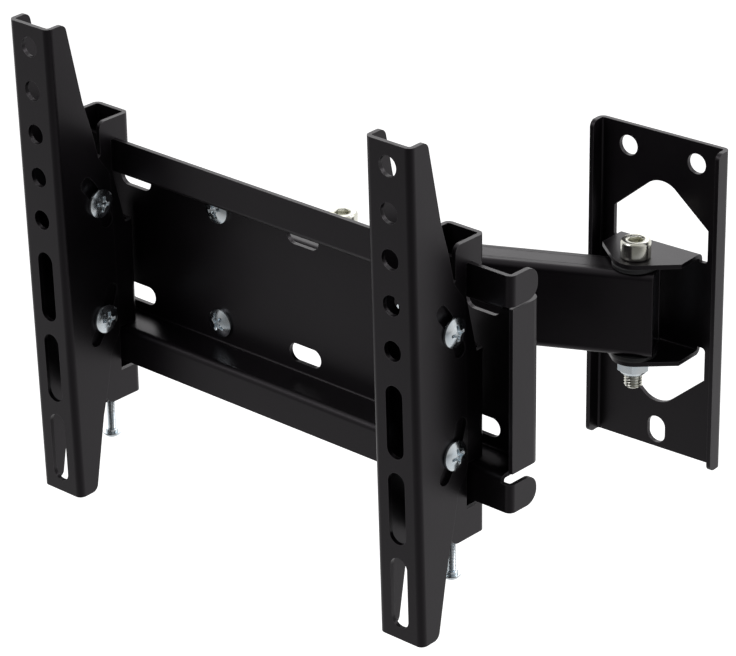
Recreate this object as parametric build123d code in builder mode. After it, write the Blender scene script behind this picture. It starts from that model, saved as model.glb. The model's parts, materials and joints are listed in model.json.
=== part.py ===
from build123d import *
import os
from math import asin, cos, degrees, pi, radians, sin, sqrt, tan

# Single-arm swivelling and tilting wall mount, in millimetres.
# The origin is the centre of the wall plate's back face. The wall is the plane y = 0,
# the viewer stands on the -Y side and +Z is up.

# Pose in which the mount is drawn, in degrees
ARM_SWING = 66.5
HEAD_TURN = 3.5
TILT = 1.25

# Sheet gauges, the inside radius of every fold, and how deep in the sheet a fold keeps its length
WALL_SHEET = 2.0
PLATE_SHEET = 2.0
HOOK_SHEET = 2.0
RAIL_SHEET = 2.0
INNER_BEND = 1.0
END_BEND = 3.0
FOLD_NEUTRAL = 0.4
CUT_CORNER = 3.0

# Clearances: a pin in its bore, faces that rub, and parts that only pass each other
PIN_FIT = 0.08
RUB_FIT = 0.1
SLIDE_FIT = 0.4
BOLT_CLEARANCE = 0.3

# Wall plate
WALL_HEIGHT = 146.5
WALL_WIDTH = 65.0
WALL_FLANGE = 6.7
WALL_HOLE_PITCH = 34.3
WALL_HOLE_RISE = 63.5
WALL_HOLE = 9.0
WALL_SLOT_DROP = 65.0
WALL_SLOT_LENGTH = 12.5

# Pivots: a fork of two folded ears with a bolt down through them
WALL_PIVOT_REACH = 20.4
HEAD_PIVOT_REACH = 23.2
EAR_HALF_WIDTH = 20.0
EAR_TIP = 9.5
EAR_SHOULDER = 4.4
DISC_RADIUS = 10.0
DISC_THICKNESS = 2.0
PIVOT_BOLT = 8.0
PIVOT_HEAD = 13.0
PIVOT_BOLT_LENGTH = 60.0
PIVOT_HEAD_BEVEL = 0.6
PIVOT_SOCKET_FLATS = 6.0
PIVOT_SOCKET_DEPTH = 4.0
PIVOT_NUT_FLATS = 13.0
PIVOT_NUT_HEIGHT = 7.3

# Window that each ear leaves in its sheet: how much it is wider and longer than the ear, how far
# it starts before the fold, and the ear depth at which its sides begin to slant
WINDOW_SIDE_GAP = 3.8
WINDOW_TIP_GAP = 1.3
WINDOW_FOLD_GAP = 0.75
WINDOW_SHOULDER = 6.0
WINDOW_ROUND = 1.7

# Lock nuts: the hexagon's share of the height, its corner bevels, and the collar over the insert
NUT_HEXAGON_SHARE = 0.72
NUT_BEVEL_ANGLE = 30.0
NUT_COLLAR_SHARE = 0.86
NUT_COLLAR_EDGE = 0.5

# Bolt ends: how far they stand out of their nuts, and their bevel
BOLT_END = 1.5
BOLT_END_BEVEL = 0.6

# Arm
ARM_LENGTH = 127.2
ARM_HEIGHT = 38.7
ARM_WIDTH = 18.0
ARM_WALL = 1.8
ARM_CORNER = 3.0
ARM_OVERHANG = 9.4
SLEEVE_WALL = 1.8

# Television plate, a hat section that opens to the front
PLATE_LENGTH = 258.4
PLATE_HEIGHT = 106.0
PLATE_WEB_HEIGHT = 77.2
PLATE_DEPTH = 19.2
END_WALL_TOP = 38.4
END_WALL_FOOT = 35.0
END_WALL_SETBACK = 1.2
LIP_TAB_DEPTH = 16.5
LIP_TAB_ROUND = 6.0
UPPER_TAB_GAP = 0.7
LOWER_TAB_GAP = 1.6
PLATE_SLOT_PITCH = 100.0
PLATE_SLOT_RISE = 27.6
PLATE_SLOT_LENGTH = 18.4
PLATE_SLOT_WIDTH = 8.5

# Head bracket and its screws
BRACKET_HALF_LENGTH = 62.0
BRACKET_HEIGHT = 71.0
BRACKET_ROUND = 6.0
HEAD_SCREW_PITCH = 100.0
HEAD_SCREW_RISE = 27.0

# Pan-head screws
PAN_SCREW = 6.0
PAN_HEAD = 13.0
PAN_HEAD_HEIGHT = 3.8
PAN_CROWN = 2.7
RECESS_SPAN = 6.2
RECESS_WIDTH = 1.3
RECESS_DEPTH = 2.2
SMALL_NUT_FLATS = 10.0
SMALL_NUT_HEIGHT = 5.2

# Hook brackets, measured from the front face of the television plate's lips
HOOK_RIGHT_X = 97.3
HOOK_LEFT_X = -104.9
HOOK_BACK = 10.2
HOOK_TOP = 62.8
HOOK_BOTTOM = 71.0
HOOK_TOP_FRONT = 8.0
HOOK_TOP_SHOULDER_Z = 48.0
HOOK_TOP_ROUND = 3.5
HOOK_BOTTOM_FRONT = 11.6
HOOK_BOTTOM_SHOULDER_Z = 50.0
HOOK_BOTTOM_ROUND = 5.0
HOOK_MIDDLE_FRONT = 20.0
HOOK_MIDDLE_Z = 38.6
HOOK_NOTCH_FRONT = 1.6
HOOK_LEAD_IN_DEPTH = 3.8
HOOK_LEAD_IN_Z = 16.4
HOOK_STEP_DEPTH = 4.8
HOOK_STEP_Z = 12.6
HOOK_LIFT_GAP = 4.3

# Tilt rails
RAIL_LENGTH = 223.0
RAIL_WIDTH = 24.0
RAIL_RISE = 1.5
RAIL_FACE_AHEAD = 34.5
RAIL_END_DEPTH = 10.3
RAIL_NECK_DEPTH = 17.2
RAIL_NECK_Z = 75.5
RAIL_SHOULDER_DEPTH = 21.3
RAIL_SHOULDER_Z = 61.0
RAIL_WAIST_DEPTH = 24.3
RAIL_WAIST_Z = 47.0
RAIL_MIDDLE_DEPTH = 30.5
RAIL_MIDDLE_Z = 38.0
RAIL_END_ROUND = 3.5
RAIL_BEND_ROUND = 6.0
RAIL_HOLE = 9.0
RAIL_HOLE_PITCH = 20.0
RAIL_HOLE_COUNT = 5
RAIL_FIRST_HOLE = 10.0
RAIL_SLOT_LENGTH = 33.0
RAIL_SLOT_PITCH = 39.5
RAIL_SLOT_COUNT = 3
RAIL_FIRST_SLOT = 122.0

# Tilt bolts and the arc slots that they run in
TILT_ARC_RADIUS = 60.0
TILT_BOLT_RISE = 27.5
TILT_BOLT_AHEAD = 12.0
TILT_HALF_RANGE = 11.0

# Lock screws
LOCK_SCREW = 3.8
LOCK_SCREW_LENGTH = 35.0
LOCK_SCREW_GAP = 3.3
LOCK_HEAD = 7.0
LOCK_HEAD_HEIGHT = 2.8
LOCK_CROWN = 1.2
LOCK_RECESS_SPAN = 4.2
LOCK_RECESS_WIDTH = 1.0
LOCK_RECESS_DEPTH = 1.7
LOCK_FLANGE = 8.4
LOCK_FLANGE_THICKNESS = 0.7

# Heights and distances that follow from the sizes above
FORK_HALF_GAP = ARM_HEIGHT / 2 + RUB_FIT + DISC_THICKNESS
FORK_HALF_HEIGHT = FORK_HALF_GAP + WALL_SHEET
LIP_FRONT = -(HEAD_PIVOT_REACH + PLATE_DEPTH)
LIP_EDGE = PLATE_HEIGHT / 2
WEB_EDGE = PLATE_WEB_HEIGHT / 2
TILT_AXIS_TO_BOLT = sqrt(TILT_ARC_RADIUS**2 - TILT_BOLT_RISE**2)
TILT_AXIS_Y = LIP_FRONT - TILT_BOLT_AHEAD - TILT_AXIS_TO_BOLT
RAIL_FACE_Y = LIP_FRONT - RAIL_FACE_AHEAD - TILT_AXIS_Y
ARC_SLOT_WIDTH = PAN_SCREW + 2 * BOLT_CLEARANCE
HOOK_WIDTH = RAIL_WIDTH - 2 * (RAIL_SHEET + RUB_FIT)

# Frames of the moving assemblies
swing = radians(ARM_SWING)
turn = radians(HEAD_TURN)
wall_pivot = Plane(origin=(0, -WALL_PIVOT_REACH, 0))
arm_frame = Plane(origin=wall_pivot.origin, x_dir=(-sin(swing), -cos(swing), 0), z_dir=(0, 0, 1))
head_pivot = Plane(
    origin=arm_frame.from_local_coords((ARM_LENGTH, 0, 0)),
    x_dir=(cos(turn), -sin(turn), 0),
    z_dir=(0, 0, 1),
)


def level(frame, height):
    """Horizontal plane of a frame, with its X and Y."""
    return frame.offset(height)


def side(frame, x=0):
    """Upright plane across a frame at x: the sketch's axes are the frame's Y and Z."""
    return Plane(origin=frame.from_local_coords((x, 0, 0)), x_dir=frame.y_dir, z_dir=frame.x_dir)


def front(frame, y=0):
    """Upright plane along a frame at y: the sketch's axes are X and Z, and it faces -Y."""
    return Plane(origin=frame.from_local_coords((0, y, 0)), x_dir=frame.x_dir, z_dir=-frame.y_dir)


def folded_strip(points, sheet, bend=INNER_BEND):
    """Section of a folded sheet whose middle line runs through the points."""
    with BuildLine() as middle:
        FilletPolyline(*points, radius=bend + sheet / 2)
    trace(middle.line, line_width=sheet)


def corner_waste(y, z, inward, radius):
    """Waste outside a rounded corner at (y, z) of a sheet that lies towards -Y and inward along Z."""
    with Locations((y, z)):
        Rectangle(radius, radius, align=(Align.MAX, Align.MIN if inward > 0 else Align.MAX))
    with Locations((y - radius, z + inward * radius)):
        Circle(radius, mode=Mode.SUBTRACT)


def ear_developed(y, reach, sheet):
    """Height above the middle at which a point of an ear lay before the ear was folded."""
    fold_start = FORK_HALF_GAP - INNER_BEND
    fold_length = (INNER_BEND + FOLD_NEUTRAL * sheet) * pi / 2
    return fold_start + fold_length + reach - sheet - INNER_BEND - y


def fork(frame, reach, sheet):
    """Two ears folded towards -Y from a web whose back face is at y = reach."""
    ear_z = FORK_HALF_GAP + sheet / 2
    web_y = reach - sheet / 2
    with BuildPart() as ears:
        with BuildSketch(side(frame)):
            folded_strip([(-EAR_TIP, ear_z), (web_y, ear_z), (web_y, -ear_z), (-EAR_TIP, -ear_z)], sheet)
        extrude(amount=EAR_HALF_WIDTH, both=True)
        with BuildSketch(frame):
            with BuildLine():
                CenterArc((0, 0), EAR_TIP, 0, 360)
                Polyline(
                    (-EAR_HALF_WIDTH, EAR_SHOULDER),
                    (EAR_HALF_WIDTH, EAR_SHOULDER),
                    (EAR_HALF_WIDTH, reach),
                    (-EAR_HALF_WIDTH, reach),
                    close=True,
                )
            make_hull()
        extrude(amount=FORK_HALF_HEIGHT, both=True, mode=Mode.INTERSECT)
        with BuildSketch(frame):
            Circle(PIVOT_BOLT / 2 + BOLT_CLEARANCE)
        extrude(amount=FORK_HALF_HEIGHT, both=True, mode=Mode.SUBTRACT)
    return ears.part


def pivot_bolt(frame):
    """Socket-head cap screw that hangs from the upper ear."""
    with BuildPart() as bolt:
        with BuildSketch(level(frame, FORK_HALF_HEIGHT)):
            Circle(PIVOT_HEAD / 2)
        extrude(amount=PIVOT_BOLT)
        chamfer(bolt.edges().group_by(Axis.Z)[-1], PIVOT_HEAD_BEVEL)
        with BuildSketch(level(frame, FORK_HALF_HEIGHT + PIVOT_BOLT)):
            RegularPolygon(PIVOT_SOCKET_FLATS / 2, 6, major_radius=False)
        extrude(amount=-PIVOT_SOCKET_DEPTH, mode=Mode.SUBTRACT)
        with BuildSketch(level(frame, FORK_HALF_HEIGHT)):
            Circle(PIVOT_BOLT / 2)
        extrude(amount=-PIVOT_BOLT_LENGTH)
        chamfer(bolt.edges().group_by(Axis.Z)[0], BOLT_END_BEVEL)
    return bolt.part


def lock_nut(seat, bore, flats, height):
    """Hexagon lock nut that stands on a plane, with a rounded collar over its insert."""
    hexagon_height = height * NUT_HEXAGON_SHARE
    face = flats / 2
    corner = flats / sqrt(3)
    bevel = (corner - face) * tan(radians(NUT_BEVEL_ANGLE))
    collar = face * NUT_COLLAR_SHARE
    with BuildPart() as nut:
        with BuildSketch(seat):
            RegularPolygon(face, 6, major_radius=False)
        extrude(amount=height)
        with BuildSketch(Plane(origin=seat.origin, x_dir=seat.x_dir, z_dir=-seat.y_dir)):
            with BuildLine():
                Polyline(
                    (bore, 0),
                    (face, 0),
                    (corner, bevel),
                    (corner, hexagon_height - bevel),
                    (face, hexagon_height),
                    (collar, hexagon_height),
                    (collar, height - NUT_COLLAR_EDGE),
                    (collar - NUT_COLLAR_EDGE, height),
                    (bore, height),
                    close=True,
                )
            make_face()
        revolve(axis=Axis(seat.origin, seat.z_dir), mode=Mode.INTERSECT)
    return nut.part


def friction_discs(frame):
    """Pair of plastic discs between a fork's ears and the arm."""
    with BuildPart() as discs:
        for height in (FORK_HALF_GAP - DISC_THICKNESS, -FORK_HALF_GAP):
            with BuildSketch(level(frame, height)):
                Circle(DISC_RADIUS)
                Circle(PIVOT_BOLT / 2 + BOLT_CLEARANCE, mode=Mode.SUBTRACT)
            extrude(amount=DISC_THICKNESS)
    return discs.part


def pan_screw(seat, length):
    """Cross-recess pan-head screw: its head stands on the seat plane and its shank goes through."""
    with BuildPart() as screw:
        with BuildSketch(seat):
            Circle(PAN_HEAD / 2)
        extrude(amount=PAN_HEAD_HEIGHT)
        crown = screw.edges().sort_by(Axis(seat.origin, seat.z_dir))[-1]
        fillet(crown, PAN_CROWN)
        with BuildSketch(seat):
            Circle(PAN_SCREW / 2)
        extrude(amount=-length)
        with BuildSketch(seat.offset(PAN_HEAD_HEIGHT)):
            Rectangle(RECESS_SPAN, RECESS_WIDTH)
            Rectangle(RECESS_WIDTH, RECESS_SPAN)
        extrude(amount=-RECESS_DEPTH, mode=Mode.SUBTRACT)
    return screw.part


# Wall plate
wall_fork = fork(wall_pivot, WALL_PIVOT_REACH, WALL_SHEET)
window_shoulder = ear_developed(WINDOW_SHOULDER, WALL_PIVOT_REACH, WALL_SHEET)
window_tip = ear_developed(0, WALL_PIVOT_REACH, WALL_SHEET)
window_half_width = EAR_HALF_WIDTH + WINDOW_SIDE_GAP
window_foot = FORK_HALF_GAP - INNER_BEND - WINDOW_FOLD_GAP
flange_x = WALL_WIDTH / 2 - WALL_SHEET / 2
flange_y = -WALL_SHEET - WALL_FLANGE
with BuildPart() as wall_plate:
    with BuildSketch(Plane.XY.offset(-WALL_HEIGHT / 2)):
        folded_strip(
            [
                (-flange_x, flange_y),
                (-flange_x, -WALL_SHEET / 2),
                (flange_x, -WALL_SHEET / 2),
                (flange_x, flange_y),
            ],
            WALL_SHEET,
        )
    extrude(amount=WALL_HEIGHT)
    front_corners = wall_plate.edges().filter_by(Axis.X).group_by(Axis.Y)[0]
    fillet(front_corners, CUT_CORNER)
    for upside in (1, -1):
        with BuildSketch(Plane.XZ) as window:
            with BuildLine():
                CenterArc((0, upside * window_tip), EAR_TIP + WINDOW_TIP_GAP, 0, 360)
                Polyline(
                    (-window_half_width, upside * window_foot),
                    (window_half_width, upside * window_foot),
                    (window_half_width, upside * window_shoulder),
                    (-window_half_width, upside * window_shoulder),
                    close=True,
                )
            make_hull()
            foot_corners = sorted(window.vertices(), key=lambda corner: abs(corner.Y))[:2]
            fillet(foot_corners, WINDOW_ROUND)
        extrude(amount=WALL_SHEET, mode=Mode.SUBTRACT)
    with BuildSketch(Plane.XZ):
        with Locations((0, WALL_HOLE_RISE)):
            with GridLocations(WALL_HOLE_PITCH, 0, 2, 1):
                Circle(WALL_HOLE / 2)
        with Locations((0, -WALL_SLOT_DROP)):
            SlotOverall(WALL_SLOT_LENGTH, WALL_HOLE, rotation=90)
    extrude(amount=WALL_SHEET, mode=Mode.SUBTRACT)
    add(wall_fork)
wall_plate.part.label = "wall_plate"

# Arm with the sleeves that keep its pivot bolts from crushing it
with BuildPart() as arm_tube:
    with BuildSketch(side(arm_frame, -ARM_OVERHANG)):
        RectangleRounded(ARM_WIDTH, ARM_HEIGHT, ARM_CORNER)
        RectangleRounded(
            ARM_WIDTH - 2 * ARM_WALL,
            ARM_HEIGHT - 2 * ARM_WALL,
            ARM_CORNER - ARM_WALL,
            mode=Mode.SUBTRACT,
        )
    extrude(amount=ARM_LENGTH + 2 * ARM_OVERHANG)
    with BuildSketch(level(arm_frame, -ARM_HEIGHT / 2)):
        with Locations((0, 0), (ARM_LENGTH, 0)):
            Circle(PIVOT_BOLT / 2 + PIN_FIT)
    extrude(amount=ARM_HEIGHT, mode=Mode.SUBTRACT)
arm_tube.part.label = "arm_tube"

sleeve_half = ARM_HEIGHT / 2 - ARM_WALL
arm_sleeves = []
for end, along in (("wall", 0), ("head", ARM_LENGTH)):
    with BuildPart() as arm_sleeve:
        with BuildSketch(level(arm_frame, -sleeve_half)):
            with Locations((along, 0)):
                Circle(PIVOT_BOLT / 2 + PIN_FIT + SLEEVE_WALL)
                Circle(PIVOT_BOLT / 2 + PIN_FIT, mode=Mode.SUBTRACT)
        extrude(amount=2 * sleeve_half)
    arm_sleeve.part.label = end + "_pivot_sleeve"
    arm_sleeves.append(arm_sleeve.part)

# Pivot hardware: bolt, lock nut and friction discs at each end of the arm
pivot_pieces = []
for end, frame in (("wall", wall_pivot), ("head", head_pivot)):
    nut_seat = Plane(
        origin=frame.from_local_coords((0, 0, -FORK_HALF_HEIGHT)),
        x_dir=frame.x_dir,
        z_dir=(0, 0, -1),
    )
    bolt = pivot_bolt(frame)
    bolt.label = end + "_pivot_bolt"
    nut = lock_nut(nut_seat, PIVOT_BOLT / 2, PIVOT_NUT_FLATS, PIVOT_NUT_HEIGHT)
    nut.label = end + "_pivot_nut"
    discs = friction_discs(frame)
    discs.label = end + "_pivot_discs"
    pivot_pieces += [bolt, nut, discs]

# Television plate
web_y = -HEAD_PIVOT_REACH - PLATE_SHEET / 2
lip_y = LIP_FRONT + PLATE_SHEET / 2
flange_z = WEB_EDGE - PLATE_SHEET / 2
end_x = PLATE_LENGTH / 2 - PLATE_SHEET / 2
end_wall_front = LIP_FRONT + END_WALL_SETBACK
hat_half_length = PLATE_LENGTH / 2 - END_BEND - PLATE_SHEET
upper_tab_foot = WEB_EDGE + UPPER_TAB_GAP
lower_tab_top = -WEB_EDGE - LOWER_TAB_GAP
tab_y = LIP_FRONT + LIP_TAB_DEPTH
with BuildPart() as tv_plate:
    with BuildSketch(side(head_pivot, -hat_half_length)):
        folded_strip(
            [
                (lip_y, LIP_EDGE),
                (lip_y, flange_z),
                (web_y, flange_z),
                (web_y, -flange_z),
                (lip_y, -flange_z),
                (lip_y, -LIP_EDGE),
            ],
            PLATE_SHEET,
        )
    extrude(amount=2 * hat_half_length)
    for end in (1, -1):
        with BuildSketch(level(head_pivot, -END_WALL_FOOT)):
            folded_strip(
                [
                    (end * end_x, end_wall_front),
                    (end * end_x, web_y),
                    (end * (hat_half_length - SLIDE_FIT), web_y),
                ],
                PLATE_SHEET,
                END_BEND,
            )
        extrude(amount=END_WALL_FOOT + END_WALL_TOP)
    for foot, top in ((upper_tab_foot, LIP_EDGE), (-LIP_EDGE, lower_tab_top)):
        with BuildSketch(level(head_pivot, foot)):
            folded_strip([(-end_x, tab_y), (-end_x, lip_y), (end_x, lip_y), (end_x, tab_y)], PLATE_SHEET)
        extrude(amount=top - foot)
    with BuildSketch(front(head_pivot, -HEAD_PIVOT_REACH)):
        with GridLocations(PLATE_SLOT_PITCH, 2 * PLATE_SLOT_RISE, 3, 2):
            SlotOverall(PLATE_SLOT_LENGTH, PLATE_SLOT_WIDTH)
        with GridLocations(HEAD_SCREW_PITCH, 2 * HEAD_SCREW_RISE, 2, 2):
            Circle(PAN_SCREW / 2 + BOLT_CLEARANCE)
    extrude(amount=PLATE_SHEET, mode=Mode.SUBTRACT)
    with BuildSketch(side(head_pivot, -PLATE_LENGTH / 2)):
        for z, inward in ((LIP_EDGE, -1), (upper_tab_foot, 1), (lower_tab_top, -1), (-LIP_EDGE, 1)):
            corner_waste(tab_y, z, inward, LIP_TAB_ROUND)
    extrude(amount=PLATE_LENGTH, mode=Mode.SUBTRACT)
tv_plate.part.label = "tv_plate"


# Head bracket: a plate behind the television plate's web, with a fork folded back from its waist
back_frame = Plane(origin=head_pivot.origin, x_dir=-head_pivot.x_dir, z_dir=(0, 0, 1))
head_fork = fork(back_frame, HEAD_PIVOT_REACH, WALL_SHEET)
with BuildPart() as head_bracket:
    with BuildSketch(front(back_frame, HEAD_PIVOT_REACH)):
        RectangleRounded(2 * BRACKET_HALF_LENGTH, BRACKET_HEIGHT, BRACKET_ROUND)
        for upside in (1, -1):
            with Locations((0, upside * window_foot)):
                notch_align = (Align.CENTER, Align.MIN if upside > 0 else Align.MAX)
                Rectangle(2 * window_half_width, BRACKET_HEIGHT, align=notch_align, mode=Mode.SUBTRACT)
        with GridLocations(HEAD_SCREW_PITCH, 2 * HEAD_SCREW_RISE, 2, 2):
            Circle(PAN_SCREW / 2 + BOLT_CLEARANCE, mode=Mode.SUBTRACT)
    extrude(amount=WALL_SHEET)
    add(head_fork)
head_bracket.part.label = "head_bracket"

# Screws and nuts that hold the head bracket to the television plate
screw_length = PLATE_SHEET + WALL_SHEET + SMALL_NUT_HEIGHT + BOLT_END
head_screws = []
head_nuts = []
for x in (-HEAD_SCREW_PITCH / 2, HEAD_SCREW_PITCH / 2):
    for z in (-HEAD_SCREW_RISE, HEAD_SCREW_RISE):
        screw_seat = Plane(
            origin=head_pivot.from_local_coords((x, web_y - PLATE_SHEET / 2, z)),
            x_dir=head_pivot.x_dir,
            z_dir=-head_pivot.y_dir,
        )
        nut_seat = Plane(
            origin=head_pivot.from_local_coords((x, WALL_SHEET - HEAD_PIVOT_REACH, z)),
            x_dir=head_pivot.x_dir,
            z_dir=head_pivot.y_dir,
        )
        head_screws.append(pan_screw(screw_seat, screw_length))
        head_nuts.append(lock_nut(nut_seat, PAN_SCREW / 2, SMALL_NUT_FLATS, SMALL_NUT_HEIGHT))
head_screw_group = Compound(label="head_bracket_screws", children=head_screws)
head_nut_group = Compound(label="head_bracket_nuts", children=head_nuts)

# Middle lines of the arc slots, seen along a rail's tilt axis
bolt_bearing = degrees(asin(TILT_BOLT_RISE / TILT_ARC_RADIUS))
arc_grooves = [
    CenterArc((0, 0), TILT_ARC_RADIUS, upside * bolt_bearing - TILT_HALF_RANGE, 2 * TILT_HALF_RANGE)
    for upside in (1, -1)
]

# Hook brackets, tilt rails and lock screws, one set each side
tilt_pieces = []
for hand, hook_x in (("left", HOOK_LEFT_X), ("right", HOOK_RIGHT_X)):
    hook_frame = Plane(
        origin=head_pivot.from_local_coords((hook_x, LIP_FRONT, 0)),
        x_dir=head_pivot.x_dir,
        z_dir=(0, 0, 1),
    )
    tilt_axis = Plane(
        origin=head_pivot.from_local_coords((hook_x, TILT_AXIS_Y, 0)),
        x_dir=head_pivot.x_dir,
        z_dir=(0, 0, 1),
    )
    rail_frame = Plane(
        origin=tilt_axis.origin,
        x_dir=tilt_axis.x_dir,
        z_dir=Vector(0, 0, 1).rotate(Axis((0, 0, 0), tilt_axis.x_dir), TILT),
    )

    # Hook bracket: a channel open to the front, cut to hang on the plate's two lips
    cheek_x = (HOOK_WIDTH - HOOK_SHEET) / 2
    back_y = HOOK_BACK - HOOK_SHEET / 2
    lip_back = PLATE_SHEET + SLIDE_FIT
    notch_roof = LIP_EDGE + RUB_FIT
    notch_floor = -LIP_EDGE - HOOK_LIFT_GAP
    flange_over = WEB_EDGE + SLIDE_FIT
    flange_under = -(WEB_EDGE - PLATE_SHEET - SLIDE_FIT)
    with BuildPart() as hook_bracket:
        with BuildSketch(level(hook_frame, -HOOK_BOTTOM)):
            folded_strip(
                [
                    (-cheek_x, -HOOK_MIDDLE_FRONT),
                    (-cheek_x, back_y),
                    (cheek_x, back_y),
                    (cheek_x, -HOOK_MIDDLE_FRONT),
                ],
                HOOK_SHEET,
            )
        extrude(amount=HOOK_BOTTOM + HOOK_TOP)
        with BuildSketch(side(hook_frame)) as hook_outline:
            with BuildLine():
                Polyline(
                    (HOOK_BACK, HOOK_TOP),
                    (-HOOK_TOP_FRONT, HOOK_TOP),
                    (-HOOK_TOP_FRONT, HOOK_TOP_SHOULDER_Z),
                    (-HOOK_MIDDLE_FRONT, HOOK_MIDDLE_Z),
                    (-HOOK_MIDDLE_FRONT, -HOOK_MIDDLE_Z),
                    (-HOOK_BOTTOM_FRONT, -HOOK_BOTTOM_SHOULDER_Z),
                    (-HOOK_BOTTOM_FRONT, -HOOK_BOTTOM),
                    (HOOK_BACK, -HOOK_BOTTOM),
                    close=True,
                )
            make_face()
            fillet(hook_outline.vertices().group_by(Axis.Y)[-1].sort_by(Axis.X)[0], HOOK_TOP_ROUND)
            fillet(hook_outline.vertices().group_by(Axis.Y)[0].sort_by(Axis.X)[0], HOOK_BOTTOM_ROUND)
        extrude(amount=HOOK_WIDTH, both=True, mode=Mode.INTERSECT)
        with BuildSketch(side(hook_frame)):
            with BuildLine():
                Polyline(
                    (HOOK_BACK, flange_over),
                    (lip_back, flange_over),
                    (lip_back, notch_roof),
                    (-HOOK_NOTCH_FRONT, notch_roof),
                    (-HOOK_NOTCH_FRONT, flange_over),
                    (HOOK_LEAD_IN_DEPTH, HOOK_LEAD_IN_Z),
                    (HOOK_STEP_DEPTH, HOOK_STEP_Z),
                    (HOOK_BACK, HOOK_STEP_Z),
                    close=True,
                )
            make_face()
            with BuildLine():
                Polyline(
                    (HOOK_BACK, flange_under),
                    (-HOOK_NOTCH_FRONT, flange_under),
                    (-HOOK_NOTCH_FRONT, notch_floor),
                    (HOOK_BACK, notch_floor),
                    close=True,
                )
            make_face()
        extrude(amount=HOOK_WIDTH, both=True, mode=Mode.SUBTRACT)
        with BuildSketch(side(hook_frame)):
            with Locations((-TILT_BOLT_AHEAD, TILT_BOLT_RISE), (-TILT_BOLT_AHEAD, -TILT_BOLT_RISE)):
                Circle(PAN_SCREW / 2 + BOLT_CLEARANCE)
        extrude(amount=HOOK_WIDTH, both=True, mode=Mode.SUBTRACT)
        with BuildSketch(level(hook_frame, -HOOK_BOTTOM)):
            with Locations((0, HOOK_BACK - INNER_BEND - HOOK_SHEET / 2)):
                Rectangle(
                    HOOK_WIDTH - 2 * HOOK_SHEET - 2 * RUB_FIT,
                    HOOK_BACK + HOOK_BOTTOM_FRONT - CUT_CORNER,
                    align=(Align.CENTER, Align.MAX),
                )
            Circle(LOCK_SCREW / 2 + PIN_FIT, mode=Mode.SUBTRACT)
        extrude(amount=HOOK_SHEET)
    hook_bracket.part.label = "hook_bracket_" + hand
    tilt_pieces.append(hook_bracket.part)

    # Tilt rail: a channel open to the back that turns about an axis ahead of its face
    rail_cheek = (RAIL_WIDTH - RAIL_SHEET) / 2
    face_y = RAIL_FACE_Y + RAIL_SHEET / 2
    rail_top = RAIL_LENGTH / 2 + RAIL_RISE
    rail_foot = RAIL_RISE - RAIL_LENGTH / 2
    with BuildPart() as tilt_rail:
        with BuildSketch(level(rail_frame, rail_foot)):
            folded_strip(
                [
                    (-rail_cheek, RAIL_FACE_Y + RAIL_MIDDLE_DEPTH),
                    (-rail_cheek, face_y),
                    (rail_cheek, face_y),
                    (rail_cheek, RAIL_FACE_Y + RAIL_MIDDLE_DEPTH),
                ],
                RAIL_SHEET,
            )
        extrude(amount=RAIL_LENGTH)
        with BuildSketch(side(rail_frame)) as rail_outline:
            for upside in (1, -1):
                with BuildLine():
                    Polyline(
                        (RAIL_FACE_Y, 0),
                        (RAIL_FACE_Y, RAIL_RISE + upside * RAIL_LENGTH / 2),
                        (RAIL_FACE_Y + RAIL_END_DEPTH, RAIL_RISE + upside * RAIL_LENGTH / 2),
                        (RAIL_FACE_Y + RAIL_NECK_DEPTH, upside * RAIL_NECK_Z),
                        (RAIL_FACE_Y + RAIL_SHOULDER_DEPTH, upside * RAIL_SHOULDER_Z),
                        (RAIL_FACE_Y + RAIL_WAIST_DEPTH, upside * RAIL_WAIST_Z),
                        (RAIL_FACE_Y + RAIL_MIDDLE_DEPTH, upside * RAIL_MIDDLE_Z),
                        (RAIL_FACE_Y + RAIL_MIDDLE_DEPTH, 0),
                        close=True,
                    )
                make_face()
            fillet(rail_outline.vertices().group_by(Axis.Y)[-1].sort_by(Axis.X)[-1], RAIL_END_ROUND)
            fillet(rail_outline.vertices().group_by(Axis.Y)[0].sort_by(Axis.X)[-1], RAIL_END_ROUND)
            fillet(rail_outline.vertices().sort_by(Axis.X)[-2:], RAIL_BEND_ROUND)
        extrude(amount=RAIL_WIDTH, both=True, mode=Mode.INTERSECT)
        with BuildSketch(side(rail_frame)):
            for groove in arc_grooves:
                SlotArc(groove, ARC_SLOT_WIDTH)
        extrude(amount=RAIL_WIDTH, both=True, mode=Mode.SUBTRACT)
        with BuildSketch(front(rail_frame, RAIL_FACE_Y + RAIL_SHEET)):
            for count in range(RAIL_HOLE_COUNT):
                with Locations((0, rail_top - RAIL_FIRST_HOLE - count * RAIL_HOLE_PITCH)):
                    Circle(RAIL_HOLE / 2)
            for count in range(RAIL_SLOT_COUNT):
                with Locations((0, rail_top - RAIL_FIRST_SLOT - count * RAIL_SLOT_PITCH)):
                    SlotOverall(RAIL_SLOT_LENGTH, RAIL_HOLE, rotation=90)
        extrude(amount=RAIL_SHEET, mode=Mode.SUBTRACT)
    tilt_rail.part.label = "tilt_rail_" + hand
    tilt_pieces.append(tilt_rail.part)

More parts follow.
